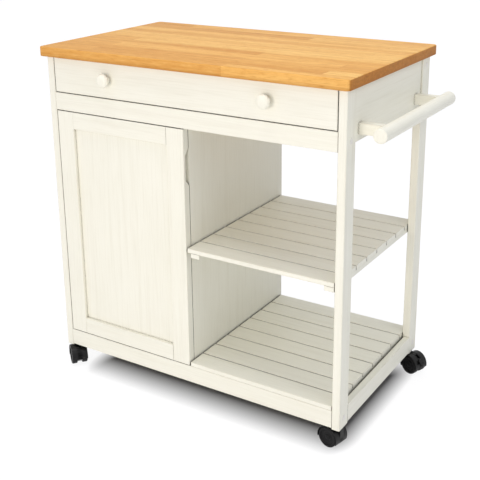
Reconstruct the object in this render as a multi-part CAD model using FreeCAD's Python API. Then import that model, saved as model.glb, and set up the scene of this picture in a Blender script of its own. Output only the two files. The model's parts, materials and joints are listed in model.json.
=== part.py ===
import FreeCAD, Part
import math
import os

os.makedirs("parts", exist_ok=True)

# Kitchen island on casters: solid wood frame, a worktop, one wide drawer, one cupboard with a
# framed door, two slatted shelves in an open bay and a round towel bar on the right.
# Sizes in millimetres. X runs left to right, Y front to back, Z up. The drawing corner is the
# outer front left corner of the frame on the floor. Each piece is moved at the end, so that the
# origin lies on the floor under the middle of the whole object.

# Frame
frame_width = 816.0
frame_depth = 459.0
post_width = 20.0
post_depth = 44.0
post_length = 788.0
post_foot_z = 55.0
rail_height = 44.0
rail_depth = 44.0
bottom_rail_lift = 3.0
drawer_opening_height = 90.0
post_easing = 1.5
board_easing = 0.8

# Tolerances for finding edges
parallel = 0.999
same_place = 0.001

# Worktop
worktop_thickness = 24.0
worktop_side_overhang = 11.0
worktop_front_overhang = 16.5
worktop_back_overhang = 16.5
worktop_corner_radius = 10.0
worktop_top_easing = 3.0
worktop_bottom_easing = 2.0

# Sides, divider and cupboard
side_setback = 4.0
side_panel_thickness = 12.0
apron_thickness = 12.0
apron_height = 122.0
side_rail_thickness = 16.0
divider_thickness = 15.0
divider_left_x = 390.0
divider_front_y = 21.5
back_thickness = 6.0
floor_thickness = 12.0
inner_shelf_thickness = 15.0
inner_shelf_lift = 356.0
inner_shelf_front_y = 52.0
inner_shelf_side_gap = 1.5

# Wood joints of the frame
rail_tenon_length = 5.0
rail_tenon_height = 28.0
rail_tenon_depth = 24.0
side_tongue_thickness = 8.0
side_tongue_length = 8.0
floor_rebate = 6.0
post_tenon_width = 10.0
post_tenon_height = 8.0
arm_tenon_length = 8.0
arm_tenon_height = 14.0
arm_tenon_width = 10.0

# Screws of the frame and the caps over them
fastener_sides = 6
screw_radius = 3.0
screw_head_radius = 5.0
screw_head_height = 3.0
screw_length = 58.0
screw_recess_depth = 4.5
screw_recess_clearance = 1.0
cap_radius = 6.8
cap_height = 1.4
cap_sides = 12

# Slatted shelves
slat_count = 8
slat_thickness = 11.0
slat_gap = 3.5
slat_back_gap = 6.0
slat_left_gap = 4.0
slat_right_gap = 1.0
slat_easing = 1.0
batten_width = 24.0
batten_thickness = 11.0
batten_inset = 9.0
middle_shelf_lift = 350.0
shelf_pin_radius = 2.5
shelf_pin_depth = 8.0
shelf_pin_reach = 28.0
shelf_pin_clearance = 0.02
inner_pin_reach = 10.0
inner_pin_inset = 55.0

# Towel bar
bar_radius = 16.0
bar_end_inset = 24.5
bar_stand_off = 62.0
bar_drop = 94.5
bar_end_easing = 2.0
arm_thickness = 20.0
arm_height = 24.0
arm_inset = 38.5

# Drawer
drawer_front_gap = 2.0
drawer_front_thickness = 18.0
drawer_front_easing = 1.2
drawer_side_thickness = 12.0
drawer_side_height = 64.0
drawer_side_space = 13.0
drawer_back_gap = 9.0
drawer_box_lift = 6.0
drawer_bottom_thickness = 6.0
drawer_bottom_lift = 8.0
drawer_groove_depth = 6.0
drawer_groove_clearance = 0.1
drawer_side_housing = 5.0
drawer_back_housing = 4.0

# Knobs
knob_radius = 17.0
knob_neck_radius = 8.0
knob_base_radius = 10.0
knob_under_radius = 15.0
knob_face_radius = 9.5
knob_neck_start = 4.0
knob_neck_end = 8.0
knob_under_height = 14.0
knob_brim_height = 17.5
knob_shoulder_height = 22.0
knob_shoulder_radius = 15.5
knob_reach = 27.0
knob_sides = 20
knob_spacing = 440.0
knob_rise = 2.5
knob_screw_radius = 2.0
knob_screw_depth = 12.0
knob_screw_head_radius = 4.0
knob_screw_head_height = 2.0

# Drawer slides
sheet = 1.2
channel_height = 24.0
channel_width = 11.0
channel_lift = 8.0
channel_lap = 22.0
front_roller_inset = 16.0
front_roller_radius = 9.0
rear_roller_radius = 10.0
rear_roller_inset = 14.0
roller_pass_gap = 12.7
roller_width = 7.6
roller_face_gap = 0.5
roller_run_gap = 0.3
roller_pin_radius = 2.5
roller_pin_head_radius = 3.5
roller_pin_head_height = 0.8
roller_fit = 0.06
roller_sides = 20
bore_sides = 12
runner_flange_drop = 1.5
runner_flange_reach = 9.2
runner_flange_end_gap = 4.0
runner_rise = 8.0
channel_stop_height = 3.5
channel_stop_length = 2.0
slide_screw_radius = 1.7
slide_screw_head_radius = 3.2
slide_screw_head_height = 1.0
channel_screw_depth = 12.0
channel_screw_inset = 12.0
runner_screw_depth = 5.5
runner_screw_inset = 60.0

# Door
door_gap = 2.0
door_thickness = 20.0
stile_width = 49.0
door_rail_height = 43.0
panel_thickness = 6.0
panel_recess = 8.0
panel_groove_depth = 8.0
panel_groove_clearance = 0.1
panel_side_play = 0.6
pull_span = 92.0
pull_deep_span = 61.0
pull_drop = 94.5
pull_front_wall = 7.0
pull_reach = 14.0
pull_inner_radius = 6.0
pivot_inset = 20.0
pivot_setback = 8.0
pivot_radius = 3.0
pivot_depth = 12.0
pivot_fit = 0.05
pivot_end_gap = 0.3

# Magnetic catch
catch_width = 40.0
catch_height = 13.0
catch_length = 16.0
catch_edge_gap = 14.0
catch_easing = 1.5
strike_width = 34.0
strike_height = 12.0
strike_top_gap = 1.0
strike_air = 0.3

# Casters
caster_trail = 20.0
wheel_radius = 25.0
wheel_width = 13.4
wheel_side_gap = 0.5
wheel_easing = 2.0
wheel_sides = 28
wheel_dish_radius = 18.5
wheel_dish_depth = 2.5
wheel_dish_sides = 12
wheel_end_wall = 2.0
axle_radius = 3.0
axle_fit = 0.06
axle_end_gap = 0.3
caster_web_width = 13.0
hood_gap = 0.9
hood_wall = 1.8
hood_lead_angle = 205.0
hood_trail_angle = -12.0
hood_facets = 12
hood_side_lap = 0.4
neck_front_reach = 7.7
neck_back_reach = 12.0
neck_top_gap = 2.3
web_ground_gap = 8.0
web_foot_reach = 12.0
stem_radius = 4.0
stem_fit = 0.05
stem_low_z = 24.0
stem_low_gap = 1.0
stem_post_depth = 19.0
stem_collar_radius = 8.5
stem_collar_height = 1.9
lever_width = 17.0
lever_arm_width = 5.0
lever_slot_width = 6.0
lever_slot_root = 10.0
lever_slot_margin = 4.0
lever_slot_lead = 24.0
lever_slot_facets = 4
lever_thickness = 2.6
lever_lift_gap = 0.8
lever_facets = 3
lever_pivot_distance = 20.0
lever_pivot_angle = 52.0
lever_pivot_radius = 2.0
lever_pivot_fit = 0.06
lever_pivot_wall = 1.0
lever_pivot_end_gap = 0.2
lever_boss_reach = 3.5
lever_boss_angle = 7.0
lever_root_angle = 12.0
lever_pad_sink = 1.0
lever_low_angle = 6.0
lever_high_angle = 34.0
lever_rest_lift = 14.0
caster_heading = {"front_left": 322.0, "front_right": 168.0, "back_left": 335.0, "back_right": 340.0}

# Levels and lines that follow from the sizes
post_top_z = post_foot_z + post_length
overall_height = post_top_z + worktop_thickness
bottom_rail_z = post_foot_z + bottom_rail_lift
bottom_rail_top_z = bottom_rail_z + rail_height
drawer_rail_top_z = post_top_z - drawer_opening_height
drawer_rail_z = drawer_rail_top_z - rail_height
back_top_rail_z = post_top_z - rail_height
inner_left_x = post_width
inner_right_x = frame_width - post_width
back_post_y = frame_depth - post_depth
divider_right_x = divider_left_x + divider_thickness
back_face_y = frame_depth - back_thickness
panel_inner_x = side_setback + side_panel_thickness
apron_right_x = frame_width - side_setback
apron_z = post_top_z - apron_height
inner_shelf_z = post_foot_z + inner_shelf_lift
middle_slat_z = post_foot_z + middle_shelf_lift
bar_x = frame_width + bar_stand_off
bar_z = post_top_z - bar_drop
left_edge_x = -worktop_side_overhang
right_edge_x = bar_x + bar_radius
front_edge_y = -knob_reach
back_edge_y = frame_depth + worktop_back_overhang
origin_x = (left_edge_x + right_edge_x) / 2
origin_y = (front_edge_y + back_edge_y) / 2
along_x = (1, 0, 0)
along_y = (0, 1, 0)
along_z = (0, 0, 1)

pieces = {}


def keep(name, *solids):
    pieces[name] = list(solids)


def block(x0, x1, y0, y1, z0, z1):
    return Part.makeBox(x1 - x0, y1 - y0, z1 - z0, FreeCAD.Vector(x0, y0, z0))


def rod(start, radius, length, direction):
    return Part.makeCylinder(radius, length, FreeCAD.Vector(*start), FreeCAD.Vector(*direction))


def outline(points):
    # Closed flat face through points
    vectors = [FreeCAD.Vector(*p) for p in points]
    return Part.Face(Part.makePolygon(vectors + [vectors[0]]))


def aimed(shape, start, direction):
    # Turns a shape built along Z and moves its base to the start
    turn = FreeCAD.Rotation(FreeCAD.Vector(0, 0, 1), FreeCAD.Vector(*direction))
    shape.Placement = FreeCAD.Placement(FreeCAD.Vector(*start), turn)
    return shape


def prism(start, radius, length, direction, sides):
    # Regular prism whose flats lie at the radius
    return faceted([(radius, 0.0), (radius, length)], start, direction, sides)


def faceted(rings, start, direction, sides):
    # Regular solid with flat faces through rings of (distance to a flat, height), low ring first
    loops = []
    for radius, height in rings:
        corner = radius / math.cos(math.pi / sides)
        angles = [2 * math.pi * (i + 0.5) / sides for i in range(sides)]
        loops.append([(corner * math.cos(a), corner * math.sin(a), height) for a in angles])
    faces = [outline(loops[0][::-1]), outline(loops[-1])]
    for low, high in zip(loops, loops[1:]):
        for i in range(sides):
            j = (i + 1) % sides
            faces.append(outline([low[i], low[j], high[j], high[i]]))
    return aimed(Part.makeSolid(Part.makeShell(faces)), start, direction)


def turned(profile, start, direction):
    # Solid of revolution through points of (radius, height)
    face = outline([(radius, 0.0, height) for radius, height in profile])
    return aimed(face.revolve(FreeCAD.Vector(0, 0, 0), FreeCAD.Vector(0, 0, 1), 360), start, direction)


def screw(start, head_radius, head_height, shank_radius, shank_length, direction):
    # Screw whose head stands on the start and whose shank runs along the direction
    back = tuple(-d for d in direction)
    head = prism(start, head_radius, head_height, back, fastener_sides)
    shank = prism(start, shank_radius, shank_length, direction, fastener_sides)
    return head.fuse(shank).removeSplitter(), shank


def eased(shape, size, axis):
    # Bevels the edges that run along one axis
    line = FreeCAD.Vector(*axis)
    chosen = []
    for edge in shape.Edges:
        if abs(edge.tangentAt(edge.FirstParameter).dot(line)) > parallel:
            chosen.append(edge)
    return shape.makeChamfer(size, chosen)


def mirrored(shape):
    # The same shape on the other hand of the frame
    return shape.mirror(FreeCAD.Vector(frame_width / 2, 0, 0), FreeCAD.Vector(1, 0, 0))


def flat_edges(shape, z):
    # Edges of a shape that lie at one height
    found = []
    for edge in shape.Edges:
        box = edge.BoundBox
        if abs(box.ZMin - z) < same_place and abs(box.ZMax - z) < same_place:
            found.append(edge)
    return found


def make_worktop():
    top = block(left_edge_x, frame_width + worktop_side_overhang, -worktop_front_overhang, back_edge_y,
                post_top_z, overall_height)
    corners = [e for e in top.Edges if e.BoundBox.ZLength > worktop_thickness / 2]
    top = top.makeFillet(worktop_corner_radius, corners)
    top = top.makeChamfer(worktop_top_easing, flat_edges(top, overall_height))
    return top.makeChamfer(worktop_bottom_easing, flat_edges(top, post_top_z))


worktop = make_worktop()

# Posts, each with a small tenon in the worktop
post_corners = {
    "front_left": (0.0, 0.0),
    "front_right": (inner_right_x, 0.0),
    "back_left": (0.0, back_post_y),
    "back_right": (inner_right_x, back_post_y),
}
posts = {}
for place, (x, y) in post_corners.items():
    post = block(x, x + post_width, y, y + post_depth, post_foot_z, post_top_z)
    middle_x = x + post_width / 2
    middle_y = y + post_depth / 2
    half = post_tenon_width / 2
    tenon = block(middle_x - half, middle_x + half, middle_y - half, middle_y + half,
                  post_top_z, post_top_z + post_tenon_height)
    posts[place] = eased(post, post_easing, along_z).fuse(tenon)
    worktop = worktop.cut(tenon)


def cross_rail(name, y, z):
    # Rail between a left and a right post, with a tenon in each
    rail = block(inner_left_x, inner_right_x, y, y + rail_depth, z, z + rail_height)
    middle_y = y + rail_depth / 2
    middle_z = z + rail_height / 2
    tenons = block(inner_left_x - rail_tenon_length, inner_right_x + rail_tenon_length,
                   middle_y - rail_tenon_depth / 2, middle_y + rail_tenon_depth / 2,
                   middle_z - rail_tenon_height / 2, middle_z + rail_tenon_height / 2)
    row = "front" if y < post_depth else "back"
    for hand in ("left", "right"):
        posts[row + "_" + hand] = posts[row + "_" + hand].cut(tenons)
    rails[name] = eased(rail, board_easing, along_x).fuse(tenons).removeSplitter()


rails = {}
cross_rail("drawer_rail", 0.0, drawer_rail_z)
cross_rail("front_bottom_rail", 0.0, bottom_rail_z)
cross_rail("back_bottom_rail", back_post_y, bottom_rail_z)
cross_rail("back_top_rail", back_post_y, back_top_rail_z)


def side_board(hand, x0, x1, z0, z1):
    # Board between a front and a back post, with a tongue in each
    board = eased(block(x0, x1, post_depth, back_post_y, z0, z1), board_easing, along_y)
    middle_x = (x0 + x1) / 2
    tongue = block(middle_x - side_tongue_thickness / 2, middle_x + side_tongue_thickness / 2,
                   post_depth - side_tongue_length, back_post_y + side_tongue_length, z0, z1)
    for row in ("front", "back"):
        posts[row + "_" + hand] = posts[row + "_" + hand].cut(tongue)
    return board.fuse(tongue).removeSplitter()


left_side_panel = side_board("left", side_setback, panel_inner_x, bottom_rail_z, post_top_z)
right_bottom_rail = side_board("right", frame_width - side_rail_thickness, frame_width,
                               bottom_rail_z, bottom_rail_top_z)
right_apron = side_board("right", apron_right_x - apron_thickness, apron_right_x, apron_z, post_top_z)

# Divider, notched over the front and back rails
divider = block(divider_left_x, divider_right_x, divider_front_y, back_face_y,
                bottom_rail_z, drawer_rail_top_z)
for name in ("drawer_rail", "front_bottom_rail", "back_bottom_rail"):
    box = rails[name].BoundBox
    divider = divider.cut(block(divider_left_x, divider_right_x, box.YMin, box.YMax, box.ZMin, box.ZMax))

# Cupboard back, floor in a rebate of the rails, and inner shelf
cabinet_back = block(inner_left_x, divider_right_x, back_face_y, frame_depth,
                     bottom_rail_top_z, back_top_rail_z)
cabinet_floor = block(panel_inner_x, divider_left_x, post_depth, back_post_y,
                      bottom_rail_top_z - floor_thickness, bottom_rail_top_z)
floor_lip = block(inner_left_x, divider_left_x, post_depth - floor_rebate, back_post_y + floor_rebate,
                  bottom_rail_top_z - floor_thickness, bottom_rail_top_z)
cabinet_floor = cabinet_floor.fuse(floor_lip).removeSplitter()
for name in ("front_bottom_rail", "back_bottom_rail"):
    rails[name] = rails[name].cut(floor_lip)
inner_shelf = block(panel_inner_x + inner_shelf_side_gap, divider_left_x - inner_shelf_side_gap,
                    inner_shelf_front_y, back_post_y - inner_shelf_side_gap,
                    inner_shelf_z, inner_shelf_z + inner_shelf_thickness)

# Slatted shelves
slat_left_x = divider_right_x + slat_left_gap
slat_right_x = inner_right_x - slat_right_gap
slat_run = frame_depth - slat_back_gap
slat_width = (slat_run - (slat_count - 1) * slat_gap) / slat_count
batten_z = middle_slat_z - batten_thickness


def slats(z):
    row = []
    for i in range(slat_count):
        y = i * (slat_width + slat_gap)
        slat = block(slat_left_x, slat_right_x, y, y + slat_width, z, z + slat_thickness)
        row.append(eased(slat, slat_easing, along_x))
    return row


def batten_pair(x):
    high = block(x, x + batten_width, 0.0, slat_run, batten_z, middle_slat_z)
    low = block(x, x + batten_width, post_depth, back_post_y,
                bottom_rail_top_z - batten_thickness, bottom_rail_top_z)
    return [high, low]


keep("middle_shelf_slats", *slats(middle_slat_z))
keep("bottom_shelf_slats", *slats(bottom_rail_top_z))
keep("shelf_battens", *batten_pair(slat_left_x + batten_inset), *batten_pair(slat_right_x - batten_width))

# Shelf pins, four under the middle shelf and four under the inner shelf
shelf_pins = []


def pinned(board, x, y, z, reach, inward):
    # Puts a pin in a board's face at x and returns the board with its hole
    start = (x - inward * shelf_pin_depth, y, z)
    direction = (inward, 0, 0)
    shelf_pins.append(prism(start, shelf_pin_radius, shelf_pin_depth + reach, direction, fastener_sides))
    hole = prism(start, shelf_pin_radius + shelf_pin_clearance, shelf_pin_depth, direction, fastener_sides)
    return board.cut(hole)


# A pin's highest corner carries the shelf
pin_corner = shelf_pin_radius / math.cos(math.pi / fastener_sides)
middle_pin_z = batten_z - pin_corner
inner_pin_z = inner_shelf_z - pin_corner
post_pin_places = {"front_right": post_depth / 2, "back_right": frame_depth - post_depth / 2}
for name, y in post_pin_places.items():
    posts[name] = pinned(posts[name], inner_right_x, y, middle_pin_z, shelf_pin_reach, -1)
for y in (post_depth + inner_pin_inset, back_post_y - inner_pin_inset):
    divider = pinned(divider, divider_right_x, y, middle_pin_z, shelf_pin_reach, 1)
    divider = pinned(divider, divider_left_x, y, inner_pin_z, inner_pin_reach, -1)
    left_side_panel = pinned(left_side_panel, panel_inner_x, y, inner_pin_z, inner_pin_reach, 1)

# Towel bar on two arms with hollowed ends, each with a tenon in the apron
bar_length = frame_depth - 2 * bar_end_inset
bar_profile = [
    (0.0, 0.0), (bar_radius - bar_end_easing, 0.0), (bar_radius, bar_end_easing),
    (bar_radius, bar_length - bar_end_easing), (bar_radius - bar_end_easing, bar_length), (0.0, bar_length),
]
towel_bar = turned(bar_profile, (bar_x, bar_end_inset, bar_z), along_y)
arms = []
for y in (bar_end_inset + arm_inset, frame_depth - bar_end_inset - arm_inset - arm_thickness):
    arm = block(apron_right_x, bar_x, y, y + arm_thickness, bar_z - arm_height / 2, bar_z + arm_height / 2)
    middle_y = y + arm_thickness / 2
    tenon = block(apron_right_x - arm_tenon_length, apron_right_x,
                  middle_y - arm_tenon_width / 2, middle_y + arm_tenon_width / 2,
                  bar_z - arm_tenon_height / 2, bar_z + arm_tenon_height / 2)
    right_apron = right_apron.cut(tenon)
    arms.append(arm.cut(rod((bar_x, bar_end_inset, bar_z), bar_radius, bar_length, along_y)).fuse(tenon))

# Screws through the posts into the ends of the rails, each under a cap
frame_screws = []
screw_caps = []
recess_radius = screw_head_radius + screw_recess_clearance
screw_places = (
    ("front", post_depth / 2, drawer_rail_z, "drawer_rail"),
    ("front", post_depth / 2, bottom_rail_z, "front_bottom_rail"),
    ("back", frame_depth - post_depth / 2, bottom_rail_z, "back_bottom_rail"),
    ("back", frame_depth - post_depth / 2, back_top_rail_z, "back_top_rail"),
)
for row, y, rail_z, rail in screw_places:
    z = rail_z + rail_height / 2
    for hand, face_x, inward in (("left", 0.0, 1), ("right", frame_width, -1)):
        post = row + "_" + hand
        seat = (face_x + inward * screw_recess_depth, y, z)
        whole, shank = screw(seat, screw_head_radius, screw_head_height, screw_radius, screw_length,
                             (inward, 0, 0))
        frame_screws.append(whole)
        recess = prism((face_x, y, z), recess_radius, screw_recess_depth, (inward, 0, 0), fastener_sides)
        posts[post] = posts[post].cut(recess).cut(shank)
        rails[rail] = rails[rail].cut(shank)
        screw_caps.append(prism((face_x, y, z), cap_radius, cap_height, (-inward, 0, 0), cap_sides))

# Drawer box. The sides are housed in the front, the back in the sides, the bottom in grooves.
front_left_x = inner_left_x + drawer_front_gap
front_right_x = inner_right_x - drawer_front_gap
front_low_z = drawer_rail_top_z + drawer_front_gap
front_high_z = post_top_z - drawer_front_gap
box_left_x = inner_left_x + drawer_side_space
box_right_x = inner_right_x - drawer_side_space
box_low_z = drawer_rail_top_z + drawer_box_lift
box_high_z = box_low_z + drawer_side_height
box_back_y = back_post_y - drawer_back_gap
box_inner_left_x = box_left_x + drawer_side_thickness
box_inner_right_x = box_right_x - drawer_side_thickness
drawer_bottom_z = box_low_z + drawer_bottom_lift
drawer_bottom_top_z = drawer_bottom_z + drawer_bottom_thickness
drawer_front = block(front_left_x, front_right_x, 0.0, drawer_front_thickness, front_low_z, front_high_z)
front_rim = [e for e in drawer_front.Edges if e.BoundBox.YMax < same_place]
drawer_front = drawer_front.makeChamfer(drawer_front_easing, front_rim)
side_front_y = drawer_front_thickness - drawer_side_housing
drawer_side = block(box_left_x, box_inner_left_x, side_front_y, box_back_y, box_low_z, box_high_z)
drawer_front = drawer_front.cut(drawer_side).cut(mirrored(drawer_side))
drawer_back = block(box_inner_left_x - drawer_back_housing, box_inner_right_x + drawer_back_housing,
                    box_back_y - drawer_side_thickness, box_back_y, drawer_bottom_top_z, box_high_z)
drawer_side = drawer_side.cut(drawer_back)
drawer_bottom = block(box_inner_left_x - drawer_groove_depth, box_inner_right_x + drawer_groove_depth,
                      drawer_front_thickness - drawer_groove_depth, box_back_y,
                      drawer_bottom_z, drawer_bottom_top_z)
groove_side = drawer_groove_depth + drawer_groove_clearance
groove = block(box_inner_left_x - groove_side, box_inner_right_x + groove_side,
               drawer_front_thickness - groove_side, box_back_y, drawer_bottom_z, drawer_bottom_top_z)
drawer_side = drawer_side.cut(groove)
drawer_front = drawer_front.cut(groove)

# Knobs, each held by a screw through the drawer front
knob_rings = [
    (knob_base_radius, 0.0),
    (knob_neck_radius, knob_neck_start),
    (knob_neck_radius, knob_neck_end),
    (knob_under_radius, knob_under_height),
    (knob_radius, knob_brim_height),
    (knob_shoulder_radius, knob_shoulder_height),
    (knob_face_radius, knob_reach),
]
knob_z = (front_low_z + front_high_z) / 2 + knob_rise
knobs = []
knob_screws = []
for x in (frame_width / 2 - knob_spacing / 2, frame_width / 2 + knob_spacing / 2):
    seat = (x, drawer_front_thickness, knob_z)
    whole, shank = screw(seat, knob_screw_head_radius, knob_screw_head_height, knob_screw_radius,
                         drawer_front_thickness + knob_screw_depth, (0, -1, 0))
    knob_screws.append(whole)
    drawer_front = drawer_front.cut(shank)
    knobs.append(faceted(knob_rings, (x, 0.0, knob_z), (0, -1, 0), knob_sides).cut(shank))

# Drawer slides, drawn on the left and mirrored. A channel on the frame carries the front roller,
# and a runner on the drawer carries the rear roller.
channel_z = drawer_rail_top_z + channel_lift
channel_top_z = channel_z + channel_height
channel_middle_z = channel_z + channel_height / 2
channel_front_y = post_depth - channel_lap
channel_back_y = back_post_y + channel_lap
flange_z = channel_top_z - 2 * sheet - runner_flange_drop
front_roller_y = post_depth + front_roller_inset
front_roller_z = flange_z - roller_run_gap - front_roller_radius
rear_roller_y = box_back_y - rear_roller_inset
rear_roller_z = channel_z + sheet + roller_run_gap + rear_roller_radius
stop_y = front_roller_y + front_roller_radius + roller_pass_gap
runner_x = box_left_x - sheet


def slide_block(near, far, y0, y1, z0, z1):
    # Block whose X span is counted from the post
    return block(inner_left_x + near, inner_left_x + far, y0, y1, z0, z1)


def roller(x, y, z, radius):
    wheel = prism((x, y, z), radius, roller_width, along_x, roller_sides)
    return wheel.cut(prism((x, y, z), roller_pin_radius + roller_fit, roller_width, along_x, bore_sides))


def roller_pin(x, y, z, direction):
    # Rivet with a head, long enough for the roller and its play
    length = roller_width + 2 * roller_face_gap
    head_x = x + direction * length
    pin = rod((x, y, z), roller_pin_radius, length, (direction, 0, 0))
    return pin.fuse(prism((head_x, y, z), roller_pin_head_radius, roller_pin_head_height,
                          (direction, 0, 0), bore_sides))


channel = slide_block(0.0, sheet, channel_front_y, channel_back_y, channel_z, channel_top_z)
channel = channel.fuse(slide_block(0.0, channel_width, channel_front_y, channel_back_y,
                                   channel_z, channel_z + sheet))
channel = channel.fuse(slide_block(0.0, channel_width, front_roller_y + front_roller_radius, channel_back_y,
                                   channel_top_z - sheet, channel_top_z))
channel = channel.fuse(slide_block(0.0, channel_width, stop_y - channel_stop_length, stop_y,
                                   channel_z, channel_z + channel_stop_height))
channel = channel.fuse(roller_pin(inner_left_x + sheet, front_roller_y, front_roller_z, 1))
front_roller = roller(inner_left_x + sheet + roller_face_gap, front_roller_y, front_roller_z,
                      front_roller_radius)

runner = block(runner_x, box_left_x, drawer_front_thickness, box_back_y, channel_z, flange_z + runner_rise)
runner = runner.fuse(block(runner_x - runner_flange_reach, runner_x, drawer_front_thickness,
                           rear_roller_y - rear_roller_radius - runner_flange_end_gap,
                           flange_z, flange_z + sheet))
runner = runner.fuse(roller_pin(runner_x, rear_roller_y, rear_roller_z, -1))
rear_roller = roller(runner_x - roller_face_gap - roller_width, rear_roller_y, rear_roller_z,
                     rear_roller_radius)

channel_screws = []
channel_screw_places = {
    "front_left": post_depth - channel_screw_inset,
    "back_left": back_post_y + channel_screw_inset,
}
for name, y in channel_screw_places.items():
    whole, shank = screw((inner_left_x + sheet, y, channel_middle_z), slide_screw_head_radius,
                         slide_screw_head_height, slide_screw_radius, channel_screw_depth + sheet, (-1, 0, 0))
    channel_screws.append(whole)
    channel_screws.append(mirrored(whole))
    channel = channel.cut(shank)
    posts[name] = posts[name].cut(shank)
    opposite = name.replace("left", "right")
    posts[opposite] = posts[opposite].cut(mirrored(shank))

runner_screws = []
for y in (drawer_front_thickness + runner_screw_inset, box_back_y - runner_screw_inset):
    whole, shank = screw((runner_x, y, channel_middle_z), slide_screw_head_radius,
                         slide_screw_head_height, slide_screw_radius, runner_screw_depth + sheet, along_x)
    runner_screws.append(whole)
    runner_screws.append(mirrored(whole))
    runner = runner.cut(shank)
    drawer_side = drawer_side.cut(shank)

# Door: two stiles, two rails with tongues and a flat panel in their grooves
door_left_x = inner_left_x + door_gap
door_right_x = divider_right_x
door_low_z = bottom_rail_top_z + door_gap
door_high_z = drawer_rail_z - door_gap
door_inner_left_x = door_left_x + stile_width
door_inner_right_x = door_right_x - stile_width
groove_front_y = panel_recess - panel_groove_clearance / 2
groove_back_y = panel_recess + panel_thickness + panel_groove_clearance / 2
panel_left_x = door_inner_left_x - panel_groove_depth
panel_right_x = door_inner_right_x + panel_groove_depth
panel_low_z = door_low_z + door_rail_height - panel_groove_depth
panel_high_z = door_high_z - door_rail_height + panel_groove_depth
stile_groove = block(panel_left_x, panel_right_x, groove_front_y, groove_back_y, door_low_z, door_high_z)
rail_groove = block(panel_left_x, panel_right_x, groove_front_y, groove_back_y, panel_low_z, panel_high_z)


def stile(x0, x1):
    board = block(x0, x1, 0.0, door_thickness, door_low_z, door_high_z)
    return eased(board, board_easing, along_z).cut(stile_groove)


def door_rail(z0, z1):
    rail = block(door_inner_left_x, door_inner_right_x, 0.0, door_thickness, z0, z1)
    tongue = block(panel_left_x, panel_right_x, panel_recess, panel_recess + panel_thickness, z0, z1)
    return rail.fuse(tongue).removeSplitter().cut(rail_groove)


def finger_pull():
    # Scoop behind the free stile, with rounded inner corners
    middle_z = door_high_z - pull_drop
    shape = outline([
        (door_right_x, door_thickness, middle_z - pull_span / 2),
        (door_right_x, pull_front_wall, middle_z - pull_deep_span / 2),
        (door_right_x, pull_front_wall, middle_z + pull_deep_span / 2),
        (door_right_x, door_thickness, middle_z + pull_span / 2),
    ]).extrude(FreeCAD.Vector(-pull_reach, 0, 0))
    inner = []
    for edge in shape.Edges:
        box = edge.BoundBox
        if box.XMax < door_right_x - pull_reach + same_place and box.YMin < pull_front_wall + same_place:
            inner.append(edge)
    return shape.makeFillet(pull_inner_radius, inner)


hinge_stile = stile(door_left_x, door_inner_left_x)
free_stile = stile(door_inner_right_x, door_right_x).cut(finger_pull())
door_panel = block(panel_left_x + panel_side_play, panel_right_x - panel_side_play,
                   panel_recess, panel_recess + panel_thickness, panel_low_z, panel_high_z - panel_side_play)

# Pivot pins that carry the door in the rails below and above it
pivot_x = door_left_x + pivot_inset
pivot_pins = []
pivot_places = (
    ("front_bottom_rail", bottom_rail_top_z, door_low_z, 1),
    ("drawer_rail", drawer_rail_z, door_high_z, -1),
)
for rail, rail_face_z, door_face_z, up in pivot_places:
    root = (pivot_x, pivot_setback, rail_face_z - up * pivot_depth)
    pivot_pins.append(rod(root, pivot_radius, 2 * pivot_depth + door_gap, (0, 0, up)))
    rails[rail] = rails[rail].cut(prism(root, pivot_radius, pivot_depth, (0, 0, up), bore_sides))
    bore = prism((pivot_x, pivot_setback, door_face_z), pivot_radius + pivot_fit,
                 pivot_depth + pivot_end_gap, (0, 0, up), bore_sides)
    hinge_stile = hinge_stile.cut(bore)

# Magnetic catch under the drawer rail and its plate on the door
catch_right_x = divider_left_x - catch_edge_gap
catch_front_y = door_thickness + sheet + strike_air
magnetic_catch = block(catch_right_x - catch_width, catch_right_x,
                       catch_front_y, catch_front_y + catch_length,
                       drawer_rail_z - catch_height, drawer_rail_z)
magnetic_catch = eased(magnetic_catch, catch_easing, along_z)
strike_x = catch_right_x - catch_width / 2
strike_high_z = door_high_z - strike_top_gap
strike_plate = block(strike_x - strike_width / 2, strike_x + strike_width / 2,
                     door_thickness, door_thickness + sheet,
                     strike_high_z - strike_height, strike_high_z)
strike_plate = eased(strike_plate, catch_easing, along_y)

# Casters, each drawn with its swivel axis on Z at the origin and its wheels trailing along X
axle_z = wheel_radius
hood_inner = wheel_radius + hood_gap
hood_outer = hood_inner + hood_wall
web_half = caster_web_width / 2
wheel_near = web_half + wheel_side_gap
wheel_far = wheel_near + wheel_width
hood_half = wheel_far + hood_side_lap
axle_reach = wheel_far - wheel_dish_depth - wheel_end_wall
neck_top_z = post_foot_z - neck_top_gap


def around(distance, angle):
    # Point in the caster's side view, counted from the axle
    return (caster_trail + distance * math.cos(math.radians(angle)), 0.0,
            axle_z + distance * math.sin(math.radians(angle)))


def arc(distance, start, end, facets):
    return [around(distance, start + (end - start) * i / facets) for i in range(facets + 1)]


def thick(points, width):
    # Side view outline with the width, centred on the middle plane
    solid = outline(points).extrude(FreeCAD.Vector(0, width, 0))
    solid.translate(FreeCAD.Vector(0, -width / 2, 0))
    return solid


def sector(inner, outer, start, end, facets, width):
    # Curved strip about the axle
    return thick(arc(outer, start, end, facets) + arc(inner, end, start, facets), width)


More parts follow.
